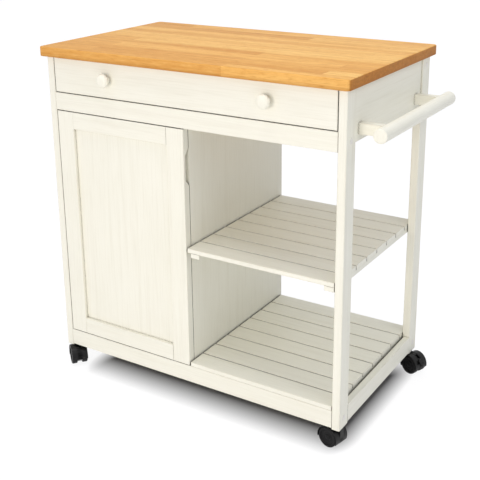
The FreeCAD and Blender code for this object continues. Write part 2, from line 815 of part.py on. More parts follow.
def caster_hood(with_lever):
    # Middle web with the axle, a neck for the stem and a cover over both wheels
    foot = [
        (caster_trail - web_foot_reach, 0.0, web_ground_gap),
        (caster_trail + web_foot_reach, 0.0, web_ground_gap),
    ]
    web = thick(arc(hood_outer, hood_trail_angle, hood_lead_angle, hood_facets) + foot, caster_web_width)
    neck = block(-neck_front_reach, neck_back_reach, -web_half, web_half, axle_z, neck_top_z)
    cover = sector(hood_inner, hood_outer, hood_trail_angle, hood_lead_angle, hood_facets, 2 * hood_half)
    body = web.fuse(neck).fuse(cover)
    body = body.fuse(rod((caster_trail, -axle_reach, axle_z), axle_radius, 2 * axle_reach, along_y))
    stem_bore = prism((0, 0, stem_low_z), stem_radius + stem_fit, neck_top_z - stem_low_z,
                      along_z, bore_sides)
    body = body.cut(stem_bore)
    if with_lever:
        slot = sector(lever_slot_root, hood_outer + lever_lift_gap, lever_low_angle - lever_slot_margin,
                      lever_pivot_angle + lever_slot_lead, lever_slot_facets, lever_slot_width)
        px, py, pz = around(lever_pivot_distance, lever_pivot_angle)
        seat_half = web_half - lever_pivot_wall
        seat = prism((px, -seat_half, pz), lever_pivot_radius + lever_pivot_fit, 2 * seat_half,
                     along_y, bore_sides)
        body = body.cut(slot).cut(seat)
    return body.removeSplitter()


def caster_wheel(side):
    rings = [(wheel_radius, wheel_near), (wheel_radius, wheel_far - wheel_easing),
             (wheel_radius - wheel_easing, wheel_far)]
    direction = (0, side, 0)
    centre = (caster_trail, 0.0, axle_z)
    dish_start = (caster_trail, side * (wheel_far - wheel_dish_depth), axle_z)
    bore_start = (caster_trail, side * wheel_near, axle_z)
    dish = prism(dish_start, wheel_dish_radius, wheel_dish_depth, direction, wheel_dish_sides)
    bore = prism(bore_start, axle_radius + axle_fit, axle_reach + axle_end_gap - wheel_near,
                 direction, bore_sides)
    return faceted(rings, centre, direction, wheel_sides).cut(dish).cut(bore)


def caster_lever():
    # Brake pedal over the rear of the hood, with an arm down to its pivot in the web
    pad_inner = hood_outer + lever_lift_gap
    pad = sector(pad_inner, pad_inner + lever_thickness, lever_low_angle, lever_high_angle,
                 lever_facets, lever_width)
    arm = thick([
        around(lever_pivot_distance - lever_boss_reach, lever_pivot_angle + lever_boss_angle),
        around(lever_pivot_distance - lever_boss_reach, lever_pivot_angle - lever_boss_angle),
        around(pad_inner + lever_pad_sink, lever_high_angle - lever_root_angle),
        around(pad_inner + lever_pad_sink, lever_high_angle),
        around(lever_pivot_distance + lever_boss_reach, lever_pivot_angle + lever_boss_angle),
    ], lever_arm_width)
    px, py, pz = around(lever_pivot_distance, lever_pivot_angle)
    half = web_half - lever_pivot_wall - lever_pivot_end_gap
    lever = pad.fuse(arm).fuse(rod((px, -half, pz), lever_pivot_radius, 2 * half, along_y)).removeSplitter()
    lever.rotate(FreeCAD.Vector(px, 0, pz), FreeCAD.Vector(0, 1, 0), -lever_rest_lift)
    return lever


def caster_stem():
    low_z = stem_low_z + stem_low_gap
    stem = rod((0, 0, low_z), stem_radius, post_foot_z - low_z, along_z)
    root = prism((0, 0, post_foot_z), stem_radius, stem_post_depth, along_z, fastener_sides)
    collar = prism((0, 0, post_foot_z - stem_collar_height), stem_collar_radius, stem_collar_height,
                   along_z, bore_sides)
    return stem.fuse(collar).fuse(root).removeSplitter()


def placed(shape, place):
    # Copy of a caster piece under its post, turned to its heading
    x, y = post_corners[place]
    copy = shape.copy()
    copy.rotate(FreeCAD.Vector(0, 0, 0), FreeCAD.Vector(0, 0, 1), caster_heading[place])
    copy.translate(FreeCAD.Vector(x + post_width / 2, y + post_depth / 2, 0))
    return copy


caster_stems = []
for place in post_corners:
    locking = place.startswith("back")
    caster_stems.append(placed(caster_stem(), place))
    stem_hole = prism((0, 0, post_foot_z), stem_radius, stem_post_depth, along_z, fastener_sides)
    posts[place] = posts[place].cut(placed(stem_hole, place))
    keep("caster_hood_" + place, placed(caster_hood(locking), place))
    keep("caster_wheels_" + place, placed(caster_wheel(1), place), placed(caster_wheel(-1), place))
    if locking:
        keep("caster_lever_" + place, placed(caster_lever(), place))

keep("worktop", worktop)
for place, post in posts.items():
    keep("post_" + place, post)
for name, rail in rails.items():
    keep(name, rail)
keep("right_bottom_rail", right_bottom_rail)
keep("right_apron", right_apron)
keep("left_side_panel", left_side_panel)
keep("divider_panel", divider)
keep("cabinet_back", cabinet_back)
keep("cabinet_floor", cabinet_floor)
keep("inner_shelf", inner_shelf)
keep("shelf_pins", *shelf_pins)
keep("towel_bar", towel_bar)
keep("towel_bar_arms", *arms)
keep("frame_screws", *frame_screws)
keep("screw_caps", *screw_caps)
keep("caster_stems", *caster_stems)
keep("drawer_front", drawer_front)
keep("drawer_side_left", drawer_side)
keep("drawer_side_right", mirrored(drawer_side))
keep("drawer_back", drawer_back)
keep("drawer_bottom", drawer_bottom)
keep("drawer_knobs", *knobs)
keep("knob_screws", *knob_screws)
keep("drawer_channel_left", channel)
keep("drawer_channel_right", mirrored(channel))
keep("channel_screws", *channel_screws)
keep("drawer_runner_left", runner)
keep("drawer_runner_right", mirrored(runner))
keep("runner_screws", *runner_screws)
keep("front_slide_rollers", front_roller, mirrored(front_roller))
keep("rear_slide_rollers", rear_roller, mirrored(rear_roller))
keep("door_hinge_stile", hinge_stile)
keep("door_free_stile", free_stile)
keep("door_top_rail", door_rail(door_high_z - door_rail_height, door_high_z))
keep("door_bottom_rail", door_rail(door_low_z, door_low_z + door_rail_height))
keep("door_panel", door_panel)
keep("door_pivot_pins", *pivot_pins)
keep("magnetic_catch", magnetic_catch)
keep("strike_plate", strike_plate)

for name, solids in pieces.items():
    shape = solids[0] if len(solids) == 1 else Part.makeCompound(solids)
    shape = shape.copy()
    shape.translate(FreeCAD.Vector(-origin_x, -origin_y, 0))
    shape.exportStep("parts/" + name + ".step")
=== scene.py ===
import json
import math

import bmesh
import bpy
from mathutils import Matrix, Vector


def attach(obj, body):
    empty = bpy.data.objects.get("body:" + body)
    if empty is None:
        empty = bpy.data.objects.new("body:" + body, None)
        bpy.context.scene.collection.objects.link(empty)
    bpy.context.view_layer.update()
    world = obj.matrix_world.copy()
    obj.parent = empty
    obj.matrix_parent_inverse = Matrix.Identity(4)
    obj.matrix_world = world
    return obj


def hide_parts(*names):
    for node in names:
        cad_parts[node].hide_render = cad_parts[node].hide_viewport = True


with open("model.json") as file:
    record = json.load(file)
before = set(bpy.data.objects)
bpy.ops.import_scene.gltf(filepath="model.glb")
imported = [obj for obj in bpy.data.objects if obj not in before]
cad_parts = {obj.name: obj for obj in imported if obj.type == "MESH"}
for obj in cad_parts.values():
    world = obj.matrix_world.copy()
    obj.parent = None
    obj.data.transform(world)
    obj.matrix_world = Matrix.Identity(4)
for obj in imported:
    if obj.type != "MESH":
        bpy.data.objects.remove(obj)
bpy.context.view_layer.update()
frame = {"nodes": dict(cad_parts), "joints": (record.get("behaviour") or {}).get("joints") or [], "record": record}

# Camera, from a fit to the photograph's straight edges
FRAME_PIXELS = 480
FOCAL_PIXELS = 894.6
CENTRE_COLUMN = 243.3
CENTRE_ROW = 168.0
CAMERA_PLACE = (1.12673, -1.82339, 1.22540)
CAMERA_YAW = 0.5593
CAMERA_PITCH = 0.3005
CAMERA_ROLL = -0.0096
SENSOR_MM = 36.0

# Colours as they show on a screen, from 0 to 1
CREAM = (0.955, 0.945, 0.890)
CREAM_DEEP = (0.938, 0.926, 0.866)
CREAM_GRAIN = (0.880, 0.862, 0.790)
# Painted shade in the joints and gaps between boards
JOINT_PAINTED_SHADE = (0.300, 0.275, 0.235)
WOOD_LIGHT = (0.972, 0.792, 0.485)
WOOD_MIDDLE = (0.925, 0.704, 0.388)
WOOD_DARK = (0.790, 0.525, 0.235)
WOOD_PORE = (0.620, 0.375, 0.155)
PALE_WOOD = (0.900, 0.800, 0.620)
PALE_WOOD_DARK = (0.800, 0.680, 0.480)
WHITE_PLASTIC = (0.930, 0.915, 0.880)
STEEL = (0.720, 0.725, 0.730)
SLIDE_COAT = (0.900, 0.895, 0.880)
NYLON = (0.830, 0.825, 0.790)
BLACK_PLASTIC = (0.046, 0.045, 0.048)
WHEEL_BLACK = (0.056, 0.055, 0.057)
FLOOR_WHITE = (0.965, 0.965, 0.965)
# Floor colour that the camera and gloss see, grey so that beneath the object it shows as painted shadow
FLOOR_SHADOW_GREY = (0.430, 0.425, 0.430)


def linear(colour):
    # Screen colour to the renderer's linear colour
    parts = []
    for c in colour:
        parts.append(c / 12.92 if c <= 0.04045 else ((c + 0.055) / 1.055) ** 2.4)
    return (*parts, 1.0)


# Samples of the two nodes that look at the shape nearby
CORNER_SAMPLES = 4

# Cosine between the softened and the true normal that counts as a full edge
EDGE_COSINE = 0.86

# Openness at which painted shade in a joint starts, and at which it is darkest
GAP_OPEN = 0.55
GAP_DEEP = 0.20


class Shader:
    # A procedural material, with short names for the nodes it is built from

    def __init__(self, name):
        self.material = bpy.data.materials.new(name)
        self.material.use_nodes = True
        self.nodes = self.material.node_tree.nodes
        self.links = self.material.node_tree.links
        self.surface = self.nodes["Principled BSDF"]
        self.place = self.nodes.new("ShaderNodeTexCoord").outputs["Object"]

    def feed(self, socket, value):
        if isinstance(value, bpy.types.NodeSocket):
            self.links.new(value, socket)
        else:
            socket.default_value = value

    def set(self, **values):
        for key, value in values.items():
            self.feed(self.surface.inputs[key.replace("_", " ")], value)

    def stretch(self, vector, scale, shift=(0.0, 0.0, 0.0)):
        node = self.nodes.new("ShaderNodeMapping")
        self.feed(node.inputs["Vector"], vector)
        node.inputs["Scale"].default_value = scale
        node.inputs["Location"].default_value = shift
        return node.outputs["Vector"]

    def noise(self, vector, scale, detail=3.0, roughness=0.55, distortion=0.0):
        node = self.nodes.new("ShaderNodeTexNoise")
        self.feed(node.inputs["Vector"], vector)
        node.inputs["Scale"].default_value = scale
        node.inputs["Detail"].default_value = detail
        node.inputs["Roughness"].default_value = roughness
        node.inputs["Distortion"].default_value = distortion
        return node.outputs["Fac"]

    def ramp(self, value, stops):
        node = self.nodes.new("ShaderNodeValToRGB")
        self.feed(node.inputs["Fac"], value)
        bands = node.color_ramp.elements
        while len(bands) < len(stops):
            bands.new(0.5)
        for band, (at, colour) in zip(bands, stops):
            band.position = at
            band.color = colour
        return node.outputs["Color"]

    def band(self, value, low, high, out_low, out_high):
        node = self.nodes.new("ShaderNodeMapRange")
        self.feed(node.inputs["Value"], value)
        ends = {"From Min": low, "From Max": high, "To Min": out_low, "To Max": out_high}
        for key, number in ends.items():
            node.inputs[key].default_value = number
        return node.outputs["Result"]

    def calc(self, operation, a, b):
        node = self.nodes.new("ShaderNodeMath")
        node.operation = operation
        self.feed(node.inputs[0], a)
        self.feed(node.inputs[1], b)
        return node.outputs["Value"]

    def mix(self, factor, a, b):
        node = self.nodes.new("ShaderNodeMix")
        node.data_type = "RGBA"
        self.feed(node.inputs[0], factor)
        self.feed(node.inputs[6], a)
        self.feed(node.inputs[7], b)
        return node.outputs[2]

    def split(self, vector):
        node = self.nodes.new("ShaderNodeSeparateXYZ")
        self.feed(node.inputs[0], vector)
        return node.outputs

    def join(self, x, y, z):
        node = self.nodes.new("ShaderNodeCombineXYZ")
        self.feed(node.inputs[0], x)
        self.feed(node.inputs[1], y)
        self.feed(node.inputs[2], z)
        return node.outputs[0]

    def rounded(self, radius):
        # Normal that softens a hard corner
        node = self.nodes.new("ShaderNodeBevel")
        node.samples = CORNER_SAMPLES
        node.inputs["Radius"].default_value = radius
        return node.outputs["Normal"]

    def edge(self, radius):
        # 1 on a corner, 0 on a flat face
        soft = self.rounded(radius)
        node = self.nodes.new("ShaderNodeVectorMath")
        node.operation = "DOT_PRODUCT"
        self.feed(node.inputs[0], soft)
        self.feed(node.inputs[1], self.nodes.new("ShaderNodeNewGeometry").outputs["Normal"])
        return self.band(node.outputs["Value"], 1.0, EDGE_COSINE, 0.0, 1.0)

    def crevice_painted_shade(self, reach):
        # Painted shade from ambient occlusion: 1 deep in a joint, 0 in the open
        node = self.nodes.new("ShaderNodeAmbientOcclusion")
        node.samples = CORNER_SAMPLES
        node.inputs["Distance"].default_value = reach
        return self.band(node.outputs["AO"], GAP_OPEN, GAP_DEEP, 0.0, 1.0)

    def bump(self, height, strength, distance, normal=None):
        node = self.nodes.new("ShaderNodeBump")
        node.inputs["Strength"].default_value = strength
        node.inputs["Distance"].default_value = distance
        self.feed(node.inputs["Height"], height)
        if normal is not None:
            self.feed(node.inputs["Normal"], normal)
        return node.outputs["Normal"]


def grain_scale(axis, along, across):
    # Noise scales per metre, along a board and across it
    return tuple(along if axis == letter else across for letter in "XYZ")


# Painted wood: lengths in metres, and how strongly each effect shows
PAINT_EDGE_WEAR = 0.0016
PAINT_SOFT_EDGE = 0.0012
PAINT_GAP_REACH = 0.010
PAINT_GAP_SHADE = 0.92
PAINT_SPECULAR = 0.30


def painted_wood(axis):
    # Satin cream paint over planed wood: the grain shows through a little, edges are rubbed, and joints and gaps
    # get painted shade
    s = Shader("painted_wood_" + axis)
    grain = s.noise(s.stretch(s.place, grain_scale(axis, 3.0, 70.0)), 1.0, 5.0, 0.6, 0.25)
    cloud = s.noise(s.place, 5.0, 2.0)
    fine = s.noise(s.stretch(s.place, grain_scale(axis, 9.0, 330.0)), 1.0, 4.0, 0.7)
    peel = s.noise(s.place, 700.0, 2.0)
    tone = s.mix(s.band(cloud, 0.3, 0.7, 0.0, 0.6), linear(CREAM), linear(CREAM_DEEP))
    tone = s.mix(s.band(grain, 0.50, 0.75, 0.0, 0.32), tone, linear(CREAM_GRAIN))
    tone = s.mix(s.band(fine, 0.48, 0.72, 0.0, 0.34), tone, linear(CREAM_GRAIN))
    patches = s.band(s.noise(s.place, 60.0, 4.0), 0.4, 0.65, 0.05, 0.35)
    tone = s.mix(s.calc("MULTIPLY", s.edge(PAINT_EDGE_WEAR), patches), tone, linear(PALE_WOOD_DARK))
    # Painted shade: joints and gaps darken where ambient occlusion finds little open space
    gap_painted_shade = s.calc("MULTIPLY", s.crevice_painted_shade(PAINT_GAP_REACH), PAINT_GAP_SHADE)
    tone = s.mix(gap_painted_shade, tone, linear(JOINT_PAINTED_SHADE))
    height = s.calc("ADD", s.calc("MULTIPLY", grain, 0.8), s.calc("MULTIPLY", peel, 0.12))
    height = s.calc("ADD", height, s.calc("MULTIPLY", fine, 0.5))
    s.set(Base_Color=tone, Roughness=s.band(grain, 0.2, 0.8, 0.42, 0.56),
          Normal=s.bump(height, 0.22, 0.0006, s.rounded(PAINT_SOFT_EDGE)))
    s.surface.inputs["Specular IOR Level"].default_value = PAINT_SPECULAR
    return s.material


# Staves of the worktop, in metres: size, joint, and how far the pattern is moved along X and Y
STAVE_WIDTH = 0.041
STAVE_LENGTH = 0.62
STAVE_JOINT = 0.00030
STAVE_SHIFT = (0.31, 0.0093, 0.0)
STAVE_STAGGER = 0.37
WOOD_SPECULAR = 0.10
LOW_EDGE_SHADE = 0.009
WORKTOP_BOTTOM = min(corner[2] for corner in frame["nodes"]["worktop"].bound_box)


def worktop_wood():
    # Oiled staves side by side along X, each with its own tone, with end grain on the two ends and painted shade
    # along the lower edge
    s = Shader("worktop_wood")
    brick = s.nodes.new("ShaderNodeTexBrick")
    brick.offset = STAVE_STAGGER
    brick.offset_frequency = 2
    brick.squash = 1.0
    for key, value in (("Scale", 1.0), ("Mortar Size", STAVE_JOINT), ("Mortar Smooth", 0.3),
                       ("Bias", 0.0), ("Brick Width", STAVE_LENGTH), ("Row Height", STAVE_WIDTH)):
        brick.inputs[key].default_value = value
    brick.inputs["Color1"].default_value = (0.0, 0.0, 0.0, 1.0)
    brick.inputs["Color2"].default_value = (1.0, 1.0, 1.0, 1.0)
    brick.inputs["Mortar"].default_value = (0.5, 0.5, 0.5, 1.0)
    s.feed(brick.inputs["Vector"], s.stretch(s.place, (1.0, 1.0, 1.0), STAVE_SHIFT))
    own = s.split(brick.outputs["Color"])[0]
    x, y, z = s.split(s.place)
    shifted = s.join(s.calc("ADD", x, s.calc("MULTIPLY", own, 13.0)), s.calc("ADD", y, own), z)
    broad = s.noise(s.stretch(shifted, (1.5, 34.0, 34.0)), 1.0, 4.0, 0.6, 0.8)
    streak = s.noise(s.stretch(shifted, (3.2, 125.0, 125.0)), 1.0, 5.0, 0.7, 0.4)
    fleck = s.noise(s.stretch(shifted, (38.0, 190.0, 190.0)), 1.0, 4.0, 0.65)
    pores = s.noise(s.stretch(shifted, (20.0, 620.0, 620.0)), 1.0, 2.0, 0.5)
    rings = s.noise(s.stretch(shifted, (8.0, 95.0, 150.0)), 1.0, 5.0, 0.7, 0.8)
    tone = s.ramp(s.calc("ADD", s.calc("MULTIPLY", broad, 0.62), s.calc("MULTIPLY", own, 0.38)),
                  [(0.20, linear(WOOD_LIGHT)), (0.50, linear(WOOD_MIDDLE)),
                   (0.90, linear(WOOD_DARK))])
    tone = s.mix(s.band(streak, 0.50, 0.72, 0.0, 0.80), tone, linear(WOOD_DARK))
    tone = s.mix(s.band(fleck, 0.52, 0.74, 0.0, 0.60), tone, linear(WOOD_DARK))
    tone = s.mix(s.band(fleck, 0.46, 0.28, 0.0, 0.35), tone, linear(WOOD_LIGHT))
    tone = s.mix(s.band(pores, 0.60, 0.74, 0.0, 0.50), tone, linear(WOOD_PORE))
    facing = s.split(s.nodes.new("ShaderNodeNewGeometry").outputs["Normal"])[0]
    on_end = s.band(s.calc("ABSOLUTE", facing, 0.0), 0.72, 0.93, 0.0, 1.0)
    end_tone = s.mix(s.band(rings, 0.35, 0.7, 0.20, 1.0), linear(WOOD_DARK), linear(WOOD_PORE))
    tone = s.mix(s.calc("MULTIPLY", on_end, 0.90), tone, end_tone)
    joint = s.band(brick.outputs["Fac"], 0.0, 1.0, 0.0, 0.45)
    tone = s.mix(joint, tone, linear(WOOD_PORE))
    # Painted shade: the worktop darkens toward its lower edge
    low_edge_painted_shade = s.band(z, WORKTOP_BOTTOM, WORKTOP_BOTTOM + LOW_EDGE_SHADE, 0.50, 0.0)
    tone = s.mix(low_edge_painted_shade, tone, linear(WOOD_PORE))
    sunk = s.calc("MULTIPLY", brick.outputs["Fac"], 0.6)
    height = s.calc("SUBTRACT", s.calc("MULTIPLY", streak, 0.5), sunk)
    height = s.calc("SUBTRACT", height, s.band(pores, 0.62, 0.74, 0.0, 0.5))
    s.set(Base_Color=tone, Roughness=s.band(streak, 0.2, 0.8, 0.44, 0.60),
          Normal=s.bump(height, 0.25, 0.0005))
    s.surface.inputs["Specular IOR Level"].default_value = WOOD_SPECULAR
    return s.material


def plain_wood(name, axis, light, dark):
    # Planed pale wood with a clear coat
    s = Shader(name)
    broad = s.noise(s.stretch(s.place, grain_scale(axis, 1.5, 26.0)), 1.0, 4.0, 0.55, 0.7)
    fine = s.noise(s.stretch(s.place, grain_scale(axis, 5.0, 210.0)), 1.0, 5.0, 0.6, 0.2)
    tone = s.ramp(broad, [(0.30, linear(light)), (0.75, linear(dark))])
    tone = s.mix(s.band(fine, 0.52, 0.8, 0.0, 0.45), tone, linear(dark))
    s.set(Base_Color=tone, Roughness=s.band(fine, 0.2, 0.8, 0.42, 0.6),
          Normal=s.bump(fine, 0.2, 0.0004, s.rounded(0.0008)))
    return s.material


def moulded(name, colour, rough, speck=0.06, weight=0.0, gloss=0.5):
    # Moulded plastic: fine texture, faint marks
    s = Shader(name)
    fine = s.noise(s.place, 1400.0, 2.0)
    marks = s.noise(s.place, 45.0, 5.0, 0.65)
    darker = tuple(c * 0.88 for c in colour)
    tone = s.mix(s.band(marks, 0.45, 0.75, 0.0, 0.8), linear(colour), linear(darker))
    s.set(Base_Color=tone, Roughness=s.band(marks, 0.3, 0.7, rough - 0.05, rough + 0.10),
          Normal=s.bump(fine, speck, 0.0002, s.rounded(0.0004)))
    s.surface.inputs["Coat Weight"].default_value = weight
    s.surface.inputs["Specular IOR Level"].default_value = gloss
    return s.material


def metal(name, colour, rough):
    # Plated steel with faint drawing lines
    s = Shader(name)
    lines = s.noise(s.stretch(s.place, (30.0, 900.0, 900.0)), 1.0, 2.0)
    cloud = s.noise(s.place, 120.0, 3.0)
    darker = tuple(c * 0.82 for c in colour)
    tone = s.mix(s.band(cloud, 0.4, 0.7, 0.0, 1.0), linear(colour), linear(darker))
    s.set(Base_Color=tone, Metallic=1.0, Roughness=s.band(lines, 0.3, 0.7, rough - 0.06, rough + 0.08),
          Normal=s.bump(lines, 0.08, 0.0001))
    return s.material


def coated(name, colour):
    # Baked coat on folded sheet steel
    s = Shader(name)
    peel = s.noise(s.place, 500.0, 2.0)
    rub = s.noise(s.stretch(s.place, (60.0, 6.0, 200.0)), 1.0, 4.0)
    darker = tuple(c * 0.8 for c in colour)
    tone = s.mix(s.band(rub, 0.5, 0.8, 0.0, 0.7), linear(colour), linear(darker))
    s.set(Base_Color=tone, Roughness=s.band(rub, 0.3, 0.7, 0.28, 0.45),
          Normal=s.bump(peel, 0.1, 0.0002, s.rounded(0.0004)))
    return s.material


# What the camera and gloss see of the floor is lifted to white, but not beneath the object, which leaves a painted
# shadow there; sizes in metres
FLOOR_GLOW = 0.90
SHADE_HALF = (0.343, 0.152)
SHADE_FADE = (0.054, 0.100)


def floor_white():
    # White ground with its real shading: beneath the object the white lift fades out over a grey floor colour, so
    # the real shadow there is deepened into a painted shadow
    s = Shader("studio_floor")
    path = s.nodes.new("ShaderNodeLightPath")
    shown = s.calc("MAXIMUM", path.outputs["Is Camera Ray"], path.outputs["Is Glossy Ray"])
    cloud = s.noise(s.place, 2.0, 2.0)
    darker = tuple(c * 0.99 for c in FLOOR_SHADOW_GREY)
    shadow_grey = s.mix(cloud, linear(FLOOR_SHADOW_GREY), linear(darker))
    s.set(Base_Color=s.mix(shown, linear(FLOOR_WHITE), shadow_grey), Roughness=0.9)
    s.surface.inputs["Specular IOR Level"].default_value = 0.1
    # Painted shadow: the white lift is taken away in a soft-edged rectangle beneath the object
    x, y, _ = s.split(s.place)
    squares = []
    for along, half, fade in zip((x, y), SHADE_HALF, SHADE_FADE):
        out = s.band(s.calc("ABSOLUTE", along, 0.0), half, half + fade, 0.0, 1.0)
        squares.append(s.calc("POWER", out, 2.0))
    outside_painted_shadow = s.calc("SQRT", s.calc("ADD", *squares), 0.0)
    outside_painted_shadow = s.band(outside_painted_shadow, 0.0, 1.0, 0.0, 1.0)
    s.surface.inputs["Emission Color"].default_value = (1.0, 1.0, 1.0, 1.0)
    s.set(Emission_Strength=s.calc("MULTIPLY", s.calc("MULTIPLY", shown, outside_painted_shadow), FLOOR_GLOW))
    return s.material


# Which way the grain runs in each painted board
GRAIN = {
    "X": ("drawer_rail", "front_bottom_rail", "back_bottom_rail", "back_top_rail", "cabinet_floor",
          "inner_shelf", "middle_shelf_slats", "bottom_shelf_slats", "towel_bar_arms", "drawer_front",
          "door_top_rail", "door_bottom_rail"),
    "Y": ("right_bottom_rail", "right_apron", "shelf_battens", "towel_bar"),
    "Z": ("post_front_left", "post_front_right", "post_back_left", "post_back_right",
          "left_side_panel", "divider_panel", "cabinet_back", "door_hinge_stile", "door_free_stile",
          "door_panel", "drawer_knobs"),
}

slot_of = {}
for entry in frame["record"]["subparts"]:
    slot_of[entry["node"]] = entry["material_slot"]

finishes = {
    "oiled_wood": worktop_wood(),
    "drawer_box_wood": plain_wood("drawer_box_wood", "X", PALE_WOOD, PALE_WOOD_DARK),
    "white_plastic": moulded("white_plastic", WHITE_PLASTIC, 0.45),
    "zinc_steel": metal("zinc_steel", STEEL, 0.34),
    "coated_slide_steel": coated("coated_slide_steel", SLIDE_COAT),
    "roller_plastic": moulded("roller_plastic", NYLON, 0.5),
    "black_plastic": moulded("black_plastic", BLACK_PLASTIC, 0.34, 0.05, 0.05, 0.25),
    "wheel_rubber": moulded("wheel_black", WHEEL_BLACK, 0.45, 0.06, 0.0, 0.20),
}
finish_of = {}
for letter, names in GRAIN.items():
    material = painted_wood(letter)
    for name in names:
        finish_of[name] = material
material = plain_wood("drawer_side_wood", "Y", PALE_WOOD, PALE_WOOD_DARK)
for name in ("drawer_side_left", "drawer_side_right"):
    finish_of[name] = material
for name, thing in frame["nodes"].items():
    if name not in finish_of:
        finish_of[name] = finishes[slot_of[name]]
    for place in thing.material_slots:
        place.material = finish_of[name]

body_of = {}
for body, members in frame["record"]["behaviour"]["bodies"].items():
    for name in members:
        body_of[name] = body

MM = 0.001
SMOOTH_ANGLE = math.radians(38.0)
EASED_ANGLE = math.radians(40.0)
EASING_STEPS = 2


class Form:
    # Closed shells, gathered in millimetres, that become one piece in place of a node

    def __init__(self, to=lambda p: p):
        self.points = []
        self.faces = []
        self.to = to

    def add(self, points, faces):
        start = len(self.points)
        self.points += [tuple(c * MM for c in self.to(p)) for p in points]
        self.faces += [tuple(i + start for i in face) for face in faces]

    def stack(self, loops, ring=False):
        # Skin over loops of equal length, closed by flat ends or into a ring
        count = len(loops[0])
        points = [p for loop in loops for p in loop]
        faces = []
        rows = len(loops)
        for row in range(rows if ring else rows - 1):
            a, b = row * count, (row + 1) % rows * count
            for i in range(count):
                j = (i + 1) % count
                faces.append((a + i, a + j, b + j, b + i))
        if not ring:
            faces.append(tuple(range(count))[::-1])
            faces.append(tuple((rows - 1) * count + i for i in range(count)))
        self.add(points, faces)

    def turn(self, profile, sides, at, ring=False):
        # Shell of revolution through (radius, height), set in place by at(u, v, height)
        angles = [2 * math.pi * i / sides for i in range(sides)]
        loops = [[at(r * math.cos(a), r * math.sin(a), h) for a in angles] for r, h in profile]
        self.stack(loops, ring)

    def slab(self, outline, low, high, at):
        # Flat piece with the outline, set in place by at(a, b, height)
        self.stack([[at(a, b, h) for a, b in outline] for h in (low, high)])

    def finish(self, name, node, easing=0.0):
        mesh = bpy.data.meshes.new(name)
        mesh.from_pydata(self.points, [], self.faces)
        work = bmesh.new()
        work.from_mesh(mesh)
        bmesh.ops.recalc_face_normals(work, faces=work.faces)
        work.to_mesh(mesh)
        work.free()
        for polygon in mesh.polygons:
            polygon.use_smooth = True
        mesh.set_sharp_from_angle(angle=SMOOTH_ANGLE)
        mesh.materials.append(finish_of[node])
        thing = bpy.data.objects.new(name, mesh)
        bpy.context.scene.collection.objects.link(thing)
        if easing:
            bevel = thing.modifiers.new("easing", "BEVEL")
            bevel.width = easing * MM
            bevel.segments = EASING_STEPS
            bevel.limit_method = "ANGLE"
            bevel.angle_limit = EASED_ANGLE
            bevel.harden_normals = True
        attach(thing, body_of[node])
        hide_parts(node)
        return thing


def arc(centre, radius, start, end, steps):
    points = []
    for i in range(steps + 1):
        angle = math.radians(start + (end - start) * i / steps)
        points.append((centre[0] + radius * math.cos(angle), centre[1] + radius * math.sin(angle)))
    return points


def spline(before, start, end, after, t):
    # One coordinate of a smooth curve from start to end, at t from 0 to 1
    square = 2 * before - 5 * start + 4 * end - after
    cube = 3 * start - before - 3 * end + after
    return 0.5 * (2 * start + (end - before) * t + square * t ** 2 + cube * t ** 3)


def through(points, steps):
    # Smooth curve through points
    padded = [points[0]] + list(points) + [points[-1]]
    curve = []
    for four in zip(padded, padded[1:], padded[2:], padded[3:]):
        for i in range(steps):
            curve.append(tuple(spline(*values, i / steps) for values in zip(*four)))
    return curve + [points[-1]]


SAME_POINT = 0.00001


def parts_of(node):
    # Boxes of a node's separate solids, in millimetres, as (low corner, high corner), left to right
    mesh = frame["nodes"][node].data
    work = bmesh.new()
    work.from_mesh(mesh)
    bmesh.ops.remove_doubles(work, verts=work.verts, dist=SAME_POINT)
    left = set(work.verts)
    boxes = []
    while left:
        reached = [left.pop()]
        group = list(reached)
        while reached:
            for edge in reached.pop().link_edges:
                for vertex in edge.verts:
                    if vertex in left:
                        left.remove(vertex)
                        reached.append(vertex)
                        group.append(vertex)
        low = tuple(min(v.co[k] for v in group) / MM for k in range(3))
        high = tuple(max(v.co[k] for v in group) / MM for k in range(3))
        boxes.append((low, high))
    work.free()
    return sorted(boxes)


# Worktop with rounded edges
WORKTOP_CORNER = 10.0
WORKTOP_TOP_ROUND = 3.0
WORKTOP_LOW_ROUND = 2.0


def make_worktop():
    [(low, high)] = parts_of("worktop")
    thickness = high[2] - low[2]

    def loop(inset, height):
        radius = WORKTOP_CORNER - inset
        x0, y0 = low[0] + WORKTOP_CORNER, low[1] + WORKTOP_CORNER
        x1, y1 = high[0] - WORKTOP_CORNER, high[1] - WORKTOP_CORNER
        outline = arc((x1, y1), radius, 0, 90, 8) + arc((x0, y1), radius, 90, 180, 8)
        outline += arc((x0, y0), radius, 180, 270, 8) + arc((x1, y0), radius, 270, 360, 8)
        return [(x, y, low[2] + height) for x, y in outline]

    steps = arc((WORKTOP_LOW_ROUND, WORKTOP_LOW_ROUND), WORKTOP_LOW_ROUND, 270, 180, 4)
    steps += arc((WORKTOP_TOP_ROUND, thickness - WORKTOP_TOP_ROUND), WORKTOP_TOP_ROUND, 180, 90, 5)
    form = Form()
    form.stack([loop(inset, height) for inset, height in steps])
    form.finish("worktop_slab", "worktop")


make_worktop()

# Turned knobs: radius and distance from the drawer front
KNOB_CURVE = [(10.0, 0.0), (9.6, 1.6), (8.3, 4.2), (8.1, 7.6), (10.6, 11.2), (14.6, 14.2), (16.7, 16.4),
              (16.9, 18.6), (15.6, 22.0), (12.6, 25.0), (8.4, 26.6), (4.0, 26.9), (1.0, 27.0)]
KNOB_SIDES = 48


def make_knobs():
    form = Form()
    for low, high in parts_of("drawer_knobs"):
        x, y, z = (low[0] + high[0]) / 2, high[1], (low[2] + high[2]) / 2
        form.turn(through(KNOB_CURVE, 4), KNOB_SIDES, lambda u, v, h: (x + u, y - h, z + v))
    form.finish("turned_knobs", "drawer_knobs")


make_knobs()

